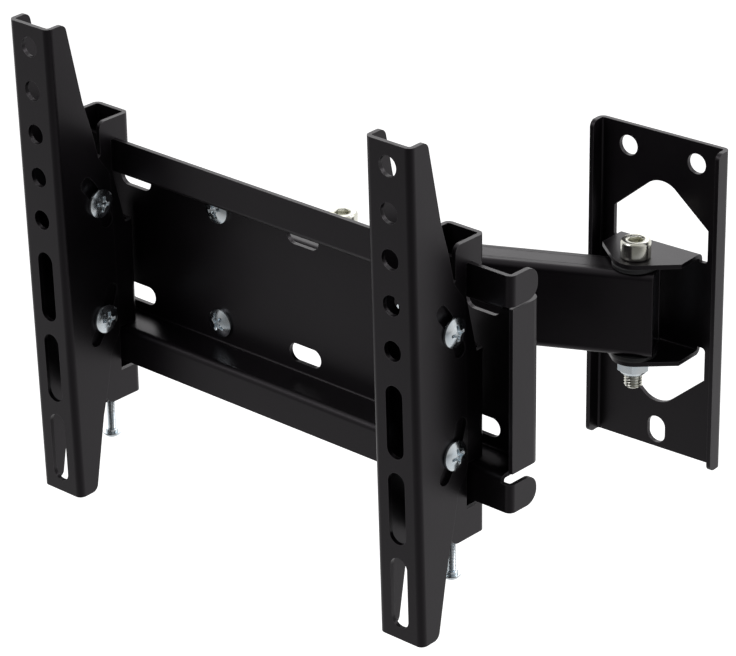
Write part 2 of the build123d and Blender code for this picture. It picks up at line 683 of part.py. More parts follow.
    # Tilt bolts go right through the rail and the hook bracket, with a lock nut on the far side
    tilt_bolts = []
    tilt_nuts = []
    cheek_outside = RAIL_WIDTH / 2 + RUB_FIT
    for upside in (1, -1):
        bolt_place = (-TILT_BOLT_AHEAD, upside * TILT_BOLT_RISE)
        bolt_seat = Plane(
            origin=hook_frame.from_local_coords((cheek_outside, *bolt_place)),
            x_dir=hook_frame.y_dir,
            z_dir=hook_frame.x_dir,
        )
        nut_seat = Plane(
            origin=hook_frame.from_local_coords((-cheek_outside, *bolt_place)),
            x_dir=hook_frame.y_dir,
            z_dir=-hook_frame.x_dir,
        )
        tilt_bolts.append(pan_screw(bolt_seat, 2 * cheek_outside + SMALL_NUT_HEIGHT + BOLT_END))
        tilt_nuts.append(lock_nut(nut_seat, PAN_SCREW / 2, SMALL_NUT_FLATS, SMALL_NUT_HEIGHT))
    tilt_pieces.append(Compound(label="tilt_bolts_" + hand, children=tilt_bolts))
    tilt_pieces.append(Compound(label="tilt_nuts_" + hand, children=tilt_nuts))

    # Lock screw: it comes up through the foot of the hook bracket to the plate's lower lip
    screw_tip = -LIP_EDGE - LOCK_SCREW_GAP
    screw_seat = Plane(
        origin=hook_frame.from_local_coords((0, 0, screw_tip - LOCK_SCREW_LENGTH)),
        x_dir=hook_frame.x_dir,
        z_dir=(0, 0, -1),
    )
    with BuildPart() as lock_screw:
        with BuildSketch(screw_seat):
            Circle(LOCK_SCREW / 2)
        extrude(amount=-LOCK_SCREW_LENGTH)
        with BuildSketch(screw_seat):
            Circle(LOCK_FLANGE / 2)
        extrude(amount=LOCK_FLANGE_THICKNESS)
        with BuildSketch(screw_seat):
            Circle(LOCK_HEAD / 2)
        extrude(amount=LOCK_HEAD_HEIGHT)
        fillet(lock_screw.edges().group_by(Axis.Z)[0], LOCK_CROWN)
        chamfer(lock_screw.edges().group_by(Axis.Z)[-1], BOLT_END_BEVEL)
        with BuildSketch(screw_seat.offset(LOCK_HEAD_HEIGHT)):
            Rectangle(LOCK_RECESS_SPAN, LOCK_RECESS_WIDTH)
            Rectangle(LOCK_RECESS_WIDTH, LOCK_RECESS_SPAN)
        extrude(amount=-LOCK_RECESS_DEPTH, mode=Mode.SUBTRACT)
    lock_screw.part.label = "lock_screw_" + hand
    tilt_pieces.append(lock_screw.part)

os.makedirs("parts", exist_ok=True)
pieces = [
    wall_plate.part,
    arm_tube.part,
    *arm_sleeves,
    *pivot_pieces,
    tv_plate.part,
    head_bracket.part,
    head_screw_group,
    head_nut_group,
    *tilt_pieces,
]
for piece in pieces:
    export_step(piece, "parts/" + piece.label + ".step")
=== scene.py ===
import json
import math

import bmesh
import bpy
from mathutils import Matrix, Vector


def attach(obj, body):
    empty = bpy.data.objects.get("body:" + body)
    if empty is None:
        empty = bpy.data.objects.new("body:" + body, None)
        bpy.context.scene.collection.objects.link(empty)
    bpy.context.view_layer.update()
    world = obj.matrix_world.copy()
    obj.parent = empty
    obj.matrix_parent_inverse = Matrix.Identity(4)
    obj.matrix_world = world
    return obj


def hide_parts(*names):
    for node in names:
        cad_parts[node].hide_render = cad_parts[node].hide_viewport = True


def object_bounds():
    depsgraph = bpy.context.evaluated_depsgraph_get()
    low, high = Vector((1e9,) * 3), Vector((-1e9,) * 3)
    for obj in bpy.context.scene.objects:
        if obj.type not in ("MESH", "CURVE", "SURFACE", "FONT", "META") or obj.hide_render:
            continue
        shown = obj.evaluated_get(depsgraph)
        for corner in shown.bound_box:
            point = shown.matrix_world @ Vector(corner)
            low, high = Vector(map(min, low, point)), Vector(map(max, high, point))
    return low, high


# Wall mount for a television: black powder-coated folded steel with bright zinc-plated bolts.
# Lengths are in metres, unless a comment says otherwise.
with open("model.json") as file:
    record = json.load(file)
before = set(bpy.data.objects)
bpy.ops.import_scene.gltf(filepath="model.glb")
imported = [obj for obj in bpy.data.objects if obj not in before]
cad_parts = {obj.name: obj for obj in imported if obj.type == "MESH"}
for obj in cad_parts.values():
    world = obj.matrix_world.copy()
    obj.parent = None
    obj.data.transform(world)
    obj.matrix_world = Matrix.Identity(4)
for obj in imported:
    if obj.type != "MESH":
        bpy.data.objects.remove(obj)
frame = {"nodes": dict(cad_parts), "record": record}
cad_low, cad_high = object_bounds()

MM = 0.001

# Camera, as the photograph was taken: angles in degrees, lens and sensor in mm
CAMERA_PLACE = (0.76758, -1.15101, 0.63315)
CAMERA_AZIMUTH = 38.897
CAMERA_ELEVATION = 25.203
CAMERA_ROLL = 0.872
CAMERA_LENS = 174.18
SENSOR_WIDTH = 36.0

# Broken edges of the dressed nodes, and the angle between two faces from which they form an edge
EDGE_BREAK = 0.42 * MM
EDGE_SEGMENTS = 2
SHARP_ANGLE = math.radians(32)

# Points nearer than this are one point, on a dressed node and on one that is measured
DRESSED_WELD = 0.002 * MM
MEASURED_WELD = 0.001 * MM

# The television plate is turned a little from the wall: directions along it and out of its front
HEAD_TURN = math.radians(3.5)
ALONG_PLATE = Vector((math.cos(HEAD_TURN), -math.sin(HEAD_TURN), 0)).normalized()
PLATE_FRONT = Vector((-math.sin(HEAD_TURN), -math.cos(HEAD_TURN), 0)).normalized()
UP = Vector((0, 0, 1))

# Nodes of the folded sheets and the tube
BLACK_SHEETS = [
    "wall_plate",
    "arm_tube",
    "tv_plate",
    "head_bracket",
    "hook_bracket_left",
    "hook_bracket_right",
    "tilt_rail_left",
    "tilt_rail_right",
]

# Columns of points round a shank or insert, and round a head or nut
SHANK_COLUMNS = 28
HEAD_COLUMNS = 96

# Threads: rows of points to a turn, depth as a share of the pitch, and the ridge as a triangle
# wave that is stretched and lowered, then cut to 0 and 1
TURN_ROWS = 6
THREAD_DEPTH = 0.54
RIDGE_STRETCH = 1.35
RIDGE_DROP = 0.1

# How far a shank runs up into its head, and how many times the shank's radius from the axis a
# solid's points are its head's
HEAD_OVERLAP = 0.1 * MM
HEAD_REACH = 1.3

# Pivot bolts: radius, pitch and length of the thread, and height of the head
PIVOT_SHANK = 4.0 * MM
PIVOT_PITCH = 1.25 * MM
PIVOT_THREAD = 24.0 * MM
PIVOT_HEAD_HEIGHT = 8.0 * MM
# Their heads from the seat up to the socket's mouth, and the socket's floor, as (radius, height)
# in mm, and between them the socket's six walls as (distance from the axis, height) in mm
PIVOT_HEAD = [
    (4.0, 0.0), (6.0, 0.0), (6.25, 0.18), (6.48, 0.55), (6.5, 0.8), (6.5, 6.75), (6.42, 7.15),
    (6.15, 7.6), (5.8, 7.88), (5.45, 7.98), (5.1, 8.0), (3.75, 8.0), (3.62, 7.94),
]
PIVOT_SOCKET = [(3.06, 7.7), (3.0, 7.55), (3.0, 4.15), (2.9, 4.0)]
PIVOT_SOCKET_FLOOR = [(1.2, 3.4), (0.2, 3.15)]

# Pan heads: the rim as (share of the radius, share of the rim's height), and the rings of the
# crown as shares of the radius
PAN_RIM = [(0.4, 0), (0.97, 0), (1, 0.12), (1, 0.85)]
PAN_CROWN = [0.988, 0.96, 0.92, 0.87, 0.81, 0.74, 0.66, 0.58]
# Their cross recess: how much its mouth flares, as shares of its span and width, the radius of
# the round core at the mouth and below it as shares of the span, and how far the mouth's inner
# edge lies under the crown, as a share of the head's height
RECESS_FLARE = (1.05, 1.12)
RECESS_MOUTH_CORE = 0.25
RECESS_CORE = 0.235
RECESS_EDGE = 0.04
# Its walls as (share of the size at the mouth, share of the head's height), and its floor as
# (share of the span, share of the head's height)
RECESS_WALLS = [(0.96, 0.72), (0.86, 0.58), (0.70, 0.46)]
RECESS_FLOOR = [(0.10, 0.40), (0.02, 0.38)]

# Pan-head screws: radius and pitch of the thread, and their heads as radius, height, height of
# the rim, and span and width of the recess
PAN_SHANK = 3.0 * MM
PAN_PITCH = 1.0 * MM
PAN_HEAD = (6.5 * MM, 2.9 * MM, 1.2 * MM, 7.2 * MM, 1.5 * MM)
# How far each recess is turned, in radians, from the top down and from left to right
RECESS_TURNS = {
    "head_bracket_screws": [1.15, 2.95, 0.25, 2.05],
    "tilt_bolts_left": [0.60, 0.70],
    "tilt_bolts_right": [0.85, 0.95],
}

# Lock screws: radius and pitch of the thread, and the flange on which the head stands and the
# collar on the flange's other side, each as (radius, height towards the head) in mm
LOCK_SHANK = 1.9 * MM
LOCK_PITCH = 0.7 * MM
LOCK_FLANGE = [
    (1.5, 0.0), (4.0, 0.0), (4.16, 0.1), (4.2, 0.25), (4.2, 0.5), (4.1, 0.66), (3.9, 0.7),
    (1.5, 0.7),
]
LOCK_COLLAR = [(1.6, -1.5), (2.55, -1.5), (2.75, -1.3), (2.75, -0.2), (2.55, 0.0), (1.6, 0.0)]
# Their heads: how far from the seat they start, radius, height of the rim, and the recess's span
# and width
LOCK_HEAD_START = 0.6 * MM
LOCK_HEAD_RADIUS = 3.5 * MM
LOCK_HEAD_RIM = 0.8 * MM
LOCK_RECESS = (4.2 * MM, 1.0 * MM)

# Lock nuts: distance of the flats from the axis, radius of the bore, and height
PIVOT_NUT = (6.5 * MM, PIVOT_SHANK, 7.3 * MM)
PAN_NUT = (5.0 * MM, PAN_SHANK, 5.2 * MM)
# Their shape: how much wider the metal is bored, the slope of the corners' bevels and the share
# of the flats' distance where they start, and the shares of the height between which the flats
# reach
NUT_BORE = 1.02
NUT_SLOPE = math.tan(math.radians(30))
NUT_BEVEL_START = 0.97
NUT_FLAT_LOW = 0.02
NUT_FLAT_HIGH = 0.70
# Rings below the flats and on the collar above them, as (share of the flats' distance, share of
# the height), and the share of the height of the shelf inside the collar
NUT_FOOT = [(0.93, 0), (0.955, 0.01)]
NUT_COLLAR = [
    (0.97, 0.71), (0.955, 0.745), (0.93, 0.79), (0.89, 0.835), (0.84, 0.88), (0.78, 0.925),
    (0.72, 0.965), (0.68, 0.988), (0.65, 1.0), (0.62, 0.99), (0.61, 0.96), (0.61, 0.85),
]
NUT_SHELF = 0.85
# The nylon insert, as (share of the bore, share of the flats' distance, share of the height):
# the first two add up to a ring's radius
NUT_INSERT = [
    (1, 0, 0.86), (0, 0.59, 0.86), (0, 0.59, 0.93), (0, 0.575, 0.955), (0.97, 0.03, 0.95),
    (1, 0, 0.93),
]

# Black powder coat: two tints, the colour of the painted highlight along its edges, and its
# roughness as a range that follows the slow changes of sheen and a part that follows the grain
COAT_TINTS = (0.0042, 0.0032, 0.0044), (0.0056, 0.0044, 0.0058)
COAT_EDGE_HIGHLIGHT = (0.085, 0.081, 0.086)
COAT_ROUGHNESS = (0.30, 0.36)
COAT_GRAIN = 0.06
COAT_SPECULAR = 0.36
COAT_SPECULAR_TINT = (1, 0.93, 1, 1)

# Zinc: its tints, fresh and yellowed, the colour of its rubbed edges, and its roughness
ZINC_TINTS = (0.66, 0.74, 0.80), (0.78, 0.82, 0.84)
WARM_ZINC_TINTS = (0.66, 0.65, 0.56), (0.76, 0.76, 0.70)
ZINC_EDGE = (0.90, 0.91, 0.92)
ZINC_ROUGHNESS = (0.16, 0.27)

# Nylon: tints of the black discs and of the nuts' inserts, their least roughness, and how much
# the grain adds
DISC_TINTS = (0.012, 0.012, 0.013), (0.018, 0.018, 0.02)
INSERT_TINTS = (0.55, 0.62, 0.70), (0.68, 0.73, 0.78)
DISC_ROUGHNESS = 0.5
INSERT_ROUGHNESS = 0.42
NYLON_GRAIN = 0.12

# Edge mask, a painted highlight on the coat and rubbed edges on zinc: samples of the rounded
# normal, and how far it agrees with the surface's own where the mask starts and where it is full
EDGE_MASK_SAMPLES = 4
EDGE_MASK_AGREEMENT = (0.995, 0.88)

# Floor: how far it lies below the mount, its size, its grey to the camera and to other rays, its
# roughness, and its glow where the camera sees it directly
FLOOR_DROP = 0.55
FLOOR_SIZE = 12.0
FLOOR_SEEN = (0.9, 0.9, 0.9)
FLOOR_UNSEEN = (0.35, 0.35, 0.35)
FLOOR_ROUGHNESS = 0.9
FLOOR_GLOW = 0.8

# Strength of the white surroundings as light
AMBIENT = 0.4

# The white sweep behind the mount: its direction, and how its brightness in reflections falls
# off towards the camera's side, as (from, to, low, high)
BACKDROP = (-0.3, 0.954, 0)
WORLD_FALL = (-1.0, 0.5, 0.12, 1.0)
# On the floor this fall is painted light: a glow seen in reflections, brighter towards the backdrop
FLOOR_FALL = (-1.5, 1.0, 0.06, 0.9)

# Lamps, all aimed at one point: name, place, width and height, and power in watts
LAMP_TARGET = (-0.1, -0.08, 0)
LAMPS = [
    ("Key", (-0.85, -1.33, 1.22), (0.8, 0.8), 7),
    ("Back", (-1.07, 1.21, 1.01), (1.3, 0.9), 4.4),
    ("Right", (0.95, 0.93, 1.22), (0.8, 0.8), 6),
]


def new_group(name, inputs, outputs):
    """Node group of plain values, with its input and output nodes: inputs are {name: default}."""
    group = bpy.data.node_groups.new(name, "ShaderNodeTree")
    for label, default in inputs.items():
        made = group.interface.new_socket(
            name=label, in_out="INPUT", socket_type="NodeSocketFloat"
        )
        made.default_value = default
    for label in outputs:
        group.interface.new_socket(name=label, in_out="OUTPUT", socket_type="NodeSocketFloat")
    return group, group.nodes.new("NodeGroupInput"), group.nodes.new("NodeGroupOutput")


def math_node(nodes, operation, **defaults):
    """Math node with default values given as a=, b= and c=."""
    node = nodes.new("ShaderNodeMath")
    node.operation = operation
    for key, value in defaults.items():
        node.inputs["abc".index(key)].default_value = value
    return node


def dot_product(nodes):
    """Node that tells how far two directions agree."""
    node = nodes.new("ShaderNodeVectorMath")
    node.operation = "DOT_PRODUCT"
    return node


def unevenness_group():
    """Fine even unevenness in a surface's own space, such as the peel of a powder coat."""
    group, entry, exit_ = new_group(
        "Surface unevenness",
        {"Size mm": 1.0, "Detail": 2.0, "Low": 0.3, "High": 0.7},
        ["Value", "Mask"],
    )
    nodes, links = group.nodes, group.links
    place = nodes.new("ShaderNodeTexCoord")
    per_metre = math_node(nodes, "DIVIDE", a=1 / MM)
    links.new(entry.outputs["Size mm"], per_metre.inputs[1])
    noise = nodes.new("ShaderNodeTexNoise")
    links.new(place.outputs["Object"], noise.inputs["Vector"])
    links.new(per_metre.outputs[0], noise.inputs["Scale"])
    links.new(entry.outputs["Detail"], noise.inputs["Detail"])
    span = nodes.new("ShaderNodeMapRange")
    links.new(noise.outputs["Fac"], span.inputs["Value"])
    links.new(entry.outputs["Low"], span.inputs["From Min"])
    links.new(entry.outputs["High"], span.inputs["From Max"])
    links.new(noise.outputs["Fac"], exit_.inputs["Value"])
    links.new(span.outputs["Result"], exit_.inputs["Mask"])
    return group


def edge_group():
    """Mask that is 1 along a piece's edges: there the coat gets a painted highlight and zinc is
    rubbed.
    """
    group, entry, exit_ = new_group(
        "Worn edges and painted highlights", {"Width": 0.4 * MM, "Strength": 1.0}, ["Mask"]
    )
    nodes, links = group.nodes, group.links
    bevel = nodes.new("ShaderNodeBevel")
    bevel.samples = EDGE_MASK_SAMPLES
    links.new(entry.outputs["Width"], bevel.inputs["Radius"])
    surface = nodes.new("ShaderNodeNewGeometry")
    agree = dot_product(nodes)
    links.new(bevel.outputs["Normal"], agree.inputs[0])
    links.new(surface.outputs["Normal"], agree.inputs[1])
    span = nodes.new("ShaderNodeMapRange")
    span.inputs["From Min"].default_value, span.inputs["From Max"].default_value = EDGE_MASK_AGREEMENT
    links.new(agree.outputs["Value"], span.inputs["Value"])
    strength = math_node(nodes, "MULTIPLY")
    links.new(span.outputs["Result"], strength.inputs[0])
    links.new(entry.outputs["Strength"], strength.inputs[1])
    links.new(strength.outputs[0], exit_.inputs["Mask"])
    return group


UNEVENNESS = unevenness_group()
EDGE_WEAR_AND_HIGHLIGHT = edge_group()


def new_material(name):
    """Material with its nodes, its links and its one Principled shader."""
    material = bpy.data.materials.new(name)
    material.use_nodes = True
    tree = material.node_tree
    return material, tree.nodes, tree.links, tree.nodes["Principled BSDF"]


def use_group(nodes, group, **values):
    """Places a node group with its own input values; a name's underscores stand for spaces."""
    node = nodes.new("ShaderNodeGroup")
    node.node_tree = group
    for key, value in values.items():
        node.inputs[key.replace("_", " ")].default_value = value
    return node


def mix_socket(sockets, name, kind):
    """A Mix node's socket of one name and kind, because several share a name."""
    return next(s for s in sockets if s.name == name and s.type == kind)


def colour_mix(nodes, links, mask, first, second):
    """Mix of two colours by a mask; a colour is a tuple or another node's output."""
    mix = nodes.new("ShaderNodeMix")
    mix.data_type = "RGBA"
    links.new(mask, mix.inputs["Factor"])
    for name, colour in (("A", first), ("B", second)):
        place = mix_socket(mix.inputs, name, "RGBA")
        if isinstance(colour, tuple):
            place.default_value = (*colour, 1)
        else:
            links.new(colour, place)
    return mix_socket(mix.outputs, "Result", "RGBA")


def value_mix(nodes, links, mask, low, high):
    """Value that goes from low to high with a mask."""
    span = nodes.new("ShaderNodeMapRange")
    span.inputs["To Min"].default_value = low
    span.inputs["To Max"].default_value = high
    links.new(mask, span.inputs["Value"])
    return span.outputs["Result"]


def bump(nodes, links, height, distance, strength, normal=None):
    """Bump of a height, on top of another bump if one is given."""
    node = nodes.new("ShaderNodeBump")
    node.inputs["Distance"].default_value = distance
    node.inputs["Strength"].default_value = strength
    links.new(height, node.inputs["Height"])
    if normal is not None:
        links.new(normal, node.inputs["Normal"])
    return node.outputs["Normal"]


def powder_coat():
    """Satin black powder coat: a fine peel, slow changes of sheen, and a painted highlight along
    the sheared edges.
    """
    material, nodes, links, shader = new_material("Black powder coat")
    peel = use_group(nodes, UNEVENNESS, Size_mm=1.1, Detail=1.0)
    grain = use_group(nodes, UNEVENNESS, Size_mm=0.3, Detail=2.0)
    cloud = use_group(nodes, UNEVENNESS, Size_mm=30.0, Detail=3.0)
    edges = use_group(nodes, EDGE_WEAR_AND_HIGHLIGHT, Width=0.55 * MM, Strength=0.8)
    base = colour_mix(nodes, links, cloud.outputs["Mask"], *COAT_TINTS)
    # Painted highlight: the edge mask lightens the black coat along every edge
    colour = colour_mix(nodes, links, edges.outputs["Mask"], base, COAT_EDGE_HIGHLIGHT)
    links.new(colour, shader.inputs["Base Color"])
    rough = math_node(nodes, "MULTIPLY_ADD", b=COAT_GRAIN)
    links.new(grain.outputs["Mask"], rough.inputs[0])
    links.new(value_mix(nodes, links, cloud.outputs["Mask"], *COAT_ROUGHNESS), rough.inputs[2])
    links.new(rough.outputs[0], shader.inputs["Roughness"])
    shader.inputs["Specular IOR Level"].default_value = COAT_SPECULAR
    shader.inputs["Specular Tint"].default_value = COAT_SPECULAR_TINT
    coarse = bump(nodes, links, peel.outputs["Value"], distance=0.05 * MM, strength=0.35)
    fine = bump(
        nodes, links, grain.outputs["Value"], distance=0.02 * MM, strength=0.25, normal=coarse
    )
    links.new(fine, shader.inputs["Normal"])
    return material


def zinc_plate(name, tints):
    """Bright zinc: slow patches of two tints, with fine drawn marks and rubbed edges."""
    material, nodes, links, shader = new_material(name)
    bloom = use_group(nodes, UNEVENNESS, Size_mm=4.0, Detail=2.0)
    marks = use_group(nodes, UNEVENNESS, Size_mm=0.35, Detail=3.0)
    edges = use_group(nodes, EDGE_WEAR_AND_HIGHLIGHT, Width=0.25 * MM, Strength=0.7)
    base = colour_mix(nodes, links, bloom.outputs["Mask"], *tints)
    colour = colour_mix(nodes, links, edges.outputs["Mask"], base, ZINC_EDGE)
    links.new(colour, shader.inputs["Base Color"])
    shader.inputs["Metallic"].default_value = 1.0
    rough = value_mix(nodes, links, marks.outputs["Mask"], *ZINC_ROUGHNESS)
    links.new(rough, shader.inputs["Roughness"])
    fine = bump(nodes, links, marks.outputs["Value"], distance=0.01 * MM, strength=0.2)
    links.new(fine, shader.inputs["Normal"])
    return material


def nylon(name, tints, roughness):
    """Moulded nylon with a faint cloudy tone and a fine matt grain."""
    material, nodes, links, shader = new_material(name)
    cloud = use_group(nodes, UNEVENNESS, Size_mm=3.0, Detail=2.0)
    grain = use_group(nodes, UNEVENNESS, Size_mm=0.2, Detail=2.0)
    colour = colour_mix(nodes, links, cloud.outputs["Mask"], *tints)
    links.new(colour, shader.inputs["Base Color"])
    rough = value_mix(nodes, links, grain.outputs["Mask"], roughness, roughness + NYLON_GRAIN)
    links.new(rough, shader.inputs["Roughness"])
    fine = bump(nodes, links, grain.outputs["Value"], distance=0.02 * MM, strength=0.3)
    links.new(fine, shader.inputs["Normal"])
    return material


BLACK = powder_coat()
ZINC = zinc_plate("Zinc plate", ZINC_TINTS)
WARM_ZINC = zinc_plate("Yellowed zinc plate", WARM_ZINC_TINTS)
DISC_NYLON = nylon("Black nylon", DISC_TINTS, DISC_ROUGHNESS)
INSERT_NYLON = nylon("Insert nylon", INSERT_TINTS, INSERT_ROUGHNESS)


def dress(node, material):
    """Gives a CAD node its finish and small broken edges that catch the light."""
    part = frame["nodes"][node]
    part.data.materials.clear()
    part.data.materials.append(material)
    weld = part.modifiers.new("Joined faces", "WELD")
    weld.merge_threshold = DRESSED_WELD
    bevel = part.modifiers.new("Broken edges", "BEVEL")
    bevel.width = EDGE_BREAK
    bevel.segments = EDGE_SEGMENTS
    bevel.limit_method = "ANGLE"
    bevel.angle_limit = SHARP_ANGLE
    bevel.use_clamp_overlap = True
    bevel.harden_normals = True
    even = part.modifiers.new("Even shading", "WEIGHTED_NORMAL")
    even.keep_sharp = True


def from_top(points):
    """Sorts solids from the top down, and those of one height, to the centimetre, by X."""
    middle = sum(points, Vector()) / len(points)
    return -round(middle.z, 2), middle.x


def solids(node):
    """Points of each separate solid of a CAD node, always in the same order."""
    mesh = bmesh.new()
    mesh.from_mesh(frame["nodes"][node].data)
    bmesh.ops.remove_doubles(mesh, verts=mesh.verts, dist=MEASURED_WELD)
    left = dict.fromkeys(mesh.verts)
    found = []
    while left:
        first = next(iter(left))
        del left[first]
        reach = [first]
        group = []
        while reach:
            vertex = reach.pop()
            group.append(vertex.co.copy())
            for edge in vertex.link_edges:
                other = edge.other_vert(vertex)
                if other in left:
                    del left[other]
                    reach.append(other)
        found.append(group)
    mesh.free()
    return sorted(found, key=from_top)


def axis_frame(points, axis):
    """Matrix at the foot of a round solid, with Z along its axis, and the solid's length."""
    along = [p.dot(axis) for p in points]
    across = axis.orthogonal().normalized()
    other = axis.cross(across)
    middle = []
    for side in (across, other):
        places = [p.dot(side) for p in points]
        middle.append((min(places) + max(places)) / 2)
    foot = across * middle[0] + other * middle[1] + axis * min(along)
    turn = Matrix((across, other, axis)).transposed().to_4x4()
    return Matrix.Translation(foot) @ turn, max(along) - min(along)


def head_seat(points, axis, shank):
    """Frame of a screw with its head towards axis, its head's seat, and its length."""
    foot, length = axis_frame(points, axis)
    back = foot.inverted()
    places = [back @ point for point in points]
    seat = min(p.z for p in places if math.hypot(*p.xy) > shank * HEAD_REACH)
    return foot, seat, length


def level(height, radius):
    """Height of a ring's point, which may follow the point's own radius."""
    return height(radius) if callable(height) else height


def circle(radius, height):
    """Ring of one radius and height."""
    return lambda angle: (radius, height)


def hexagon(face, height):
    """Ring with six flats at a distance from the axis."""

    def ring(angle):
        radius = face / math.cos(angle % (math.pi / 3) - math.pi / 6)
        return radius, level(height, radius)

    return ring


def cross(reach, width, core, height):
    """Ring of a cross recess: four straight wings that run out of a round core."""
    end_sine = width / 2 / reach

    def ring(angle):
        fold = (angle + math.pi / 4) % (math.pi / 2) - math.pi / 4
        radius = max(core, width / 2 / max(abs(math.sin(fold)), end_sine))
        return radius, level(height, radius)

    return ring


def stack(ring, outline, base=0.0):
    """Rings of one form from an outline of (size, height) in mm, above a base height."""
    return [ring(size * MM, base + height * MM) for size, height in outline]


def add_rings(mesh, rings, columns, matrix):
    """Closed skin over rings that follow each other round an axis, with a fan over each end."""
    angles = [2 * math.pi * step / columns for step in range(columns)]
    rows = []
    for ring in rings:
        row = []
        for angle in angles:
            radius, height = ring(angle)
            place = Vector((radius * math.cos(angle), radius * math.sin(angle), height))
            row.append(mesh.verts.new(matrix @ place))
        rows.append(row)
    for low, high in zip(rows, rows[1:]):
        for step in range(columns):
            after = (step + 1) % columns
            mesh.faces.new((low[step], low[after], high[after], high[step]))
    for row, order in ((rows[0], -1), (rows[-1], 1)):
        middle = sum((corner.co for corner in row), Vector()) / columns
        centre = mesh.verts.new(middle)
        for step in range(columns):
            pair = (row[step], row[(step + 1) % columns])[::order]
            mesh.faces.new((*pair, centre))


def thread(mesh, radius, pitch, top, matrix):
    """Screw thread from the foot of an axis, where it is bevelled, up to a height."""
    deep = THREAD_DEPTH * pitch
    rows = max(2, round(top / pitch * TURN_ROWS))

    def row(height):
        def ring(angle):
            phase = (height / pitch - angle / (2 * math.pi)) % 1
            wave = 1 - abs(2 * phase - 1)
            ridge = min(1, max(0, RIDGE_STRETCH * wave - RIDGE_DROP))
            return min(radius - deep * (1 - ridge), radius - deep + height), height

        return ring

    heights = [top - top * step / rows for step in range(rows, -1, -1)]
    add_rings(mesh, [row(height) for height in heights], SHANK_COLUMNS, matrix)


def pan_head(mesh, matrix, radius, height, rim, span, width):
    """Domed pan head that stands on a plane, with a cross recess."""
    ball = (radius**2 + (height - rim) ** 2) / (2 * (height - rim))
    core = RECESS_CORE * span

    def crown(reach):
        return height - ball + math.sqrt(ball**2 - reach**2)

    def mouth(reach):
        return crown(reach) - RECESS_EDGE * height

    rings = [circle(share * radius, rise * rim) for share, rise in PAN_RIM]
    rings += [circle(share * radius, crown(share * radius)) for share in PAN_CROWN]
    longer, wider = RECESS_FLARE
    rings.append(cross(span / 2 * longer, width * wider, RECESS_MOUTH_CORE * span, crown))
    rings.append(cross(span / 2, width, core, mouth))
    for size, rise in RECESS_WALLS:
        rings.append(cross(span / 2 * size, width * size, core * size, rise * height))
    rings += [circle(share * span, rise * height) for share, rise in RECESS_FLOOR]
    add_rings(mesh, rings, HEAD_COLUMNS, matrix)


def finish_piece(name, mesh, node, material, stands_for=True):
    """Makes the mesh an object that rides on the CAD node's body."""
    data = bpy.data.meshes.new(name)
    bmesh.ops.recalc_face_normals(mesh, faces=mesh.faces)
    mesh.to_mesh(data)
    mesh.free()
    data.shade_smooth()
    data.set_sharp_from_angle(angle=SHARP_ANGLE)
    piece = bpy.data.objects.new(name, data)
    bpy.context.collection.objects.link(piece)
    data.materials.append(material)
    bodies = frame["record"]["behaviour"]["bodies"]
    body = next(key for key, nodes in bodies.items() if node in nodes)
    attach(piece, body)
    if stands_for:
        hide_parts(node)


def pivot_bolt(node):
    """Socket-head cap screw: bevelled head, hex socket, and a thread at its lower end."""
    mesh = bmesh.new()
    for points in solids(node):
        foot, length = axis_frame(points, UP)
        seat = length - PIVOT_HEAD_HEIGHT
        rings = stack(circle, PIVOT_HEAD, seat)
        rings += stack(hexagon, PIVOT_SOCKET, seat)
        rings += stack(circle, PIVOT_SOCKET_FLOOR, seat)
        add_rings(mesh, rings, HEAD_COLUMNS, foot)
        plain = [circle(PIVOT_SHANK, height) for height in (PIVOT_THREAD, seat + HEAD_OVERLAP)]
        add_rings(mesh, plain, SHANK_COLUMNS, foot)
        thread(mesh, PIVOT_SHANK, PIVOT_PITCH, PIVOT_THREAD, foot)
    finish_piece(node + ".detail", mesh, node, WARM_ZINC)


def pan_screws(node, axis):
    """Pan-head screws with a cross recess and a thread all along."""
    mesh = bmesh.new()
    for points, turned in zip(solids(node), RECESS_TURNS[node]):
        foot, seat, _ = head_seat(points, axis, PAN_SHANK)
        head = foot @ Matrix.Translation((0, 0, seat)) @ Matrix.Rotation(turned, 4, "Z")
        pan_head(mesh, head, *PAN_HEAD)
        thread(mesh, PAN_SHANK, PAN_PITCH, seat + HEAD_OVERLAP, foot)
    finish_piece(node + ".detail", mesh, node, ZINC)


def lock_screw(node):
    """Long thin lock screw, head down: pan head with a flange and a collar, threaded all along."""
    mesh = bmesh.new()
    for points in solids(node):
        foot, seat, length = head_seat(points, -UP, LOCK_SHANK)
        head = foot @ Matrix.Translation((0, 0, seat))
        for outline in (LOCK_FLANGE, LOCK_COLLAR):
            add_rings(mesh, stack(circle, outline), HEAD_COLUMNS, head)
        over = head @ Matrix.Translation((0, 0, LOCK_HEAD_START))
        height = length - seat - LOCK_HEAD_START
        pan_head(mesh, over, LOCK_HEAD_RADIUS, height, LOCK_HEAD_RIM, *LOCK_RECESS)
        thread(mesh, LOCK_SHANK, LOCK_PITCH, seat + HEAD_OVERLAP, foot)
    finish_piece(node + ".detail", mesh, node, ZINC)


def nut_metal(mesh, matrix, face, bore, height):
    """Hexagon of a lock nut, with bevelled corners and a collar that holds the insert."""

    def past_bevel(radius):
        return (radius - NUT_BEVEL_START * face) * NUT_SLOPE

    def lower(radius):
        return max(NUT_FLAT_LOW * height, past_bevel(radius))

    def upper(radius):
        return NUT_FLAT_HIGH * height - max(0, past_bevel(radius))

    rings = [circle(bore * NUT_BORE, 0)]
    rings += [circle(share * face, rise * height) for share, rise in NUT_FOOT]
    rings += [hexagon(face, lower), hexagon(face, upper)]
    rings += [circle(share * face, rise * height) for share, rise in NUT_COLLAR]
    rings.append(circle(bore * NUT_BORE, NUT_SHELF * height))
    add_rings(mesh, rings, HEAD_COLUMNS, matrix)


def nut_insert(mesh, matrix, face, bore, height):
    """Nylon ring inside a lock nut's collar."""
    rings = [
        circle(of_bore * bore + of_face * face, rise * height)
        for of_bore, of_face, rise in NUT_INSERT
    ]
    add_rings(mesh, rings, SHANK_COLUMNS, matrix)


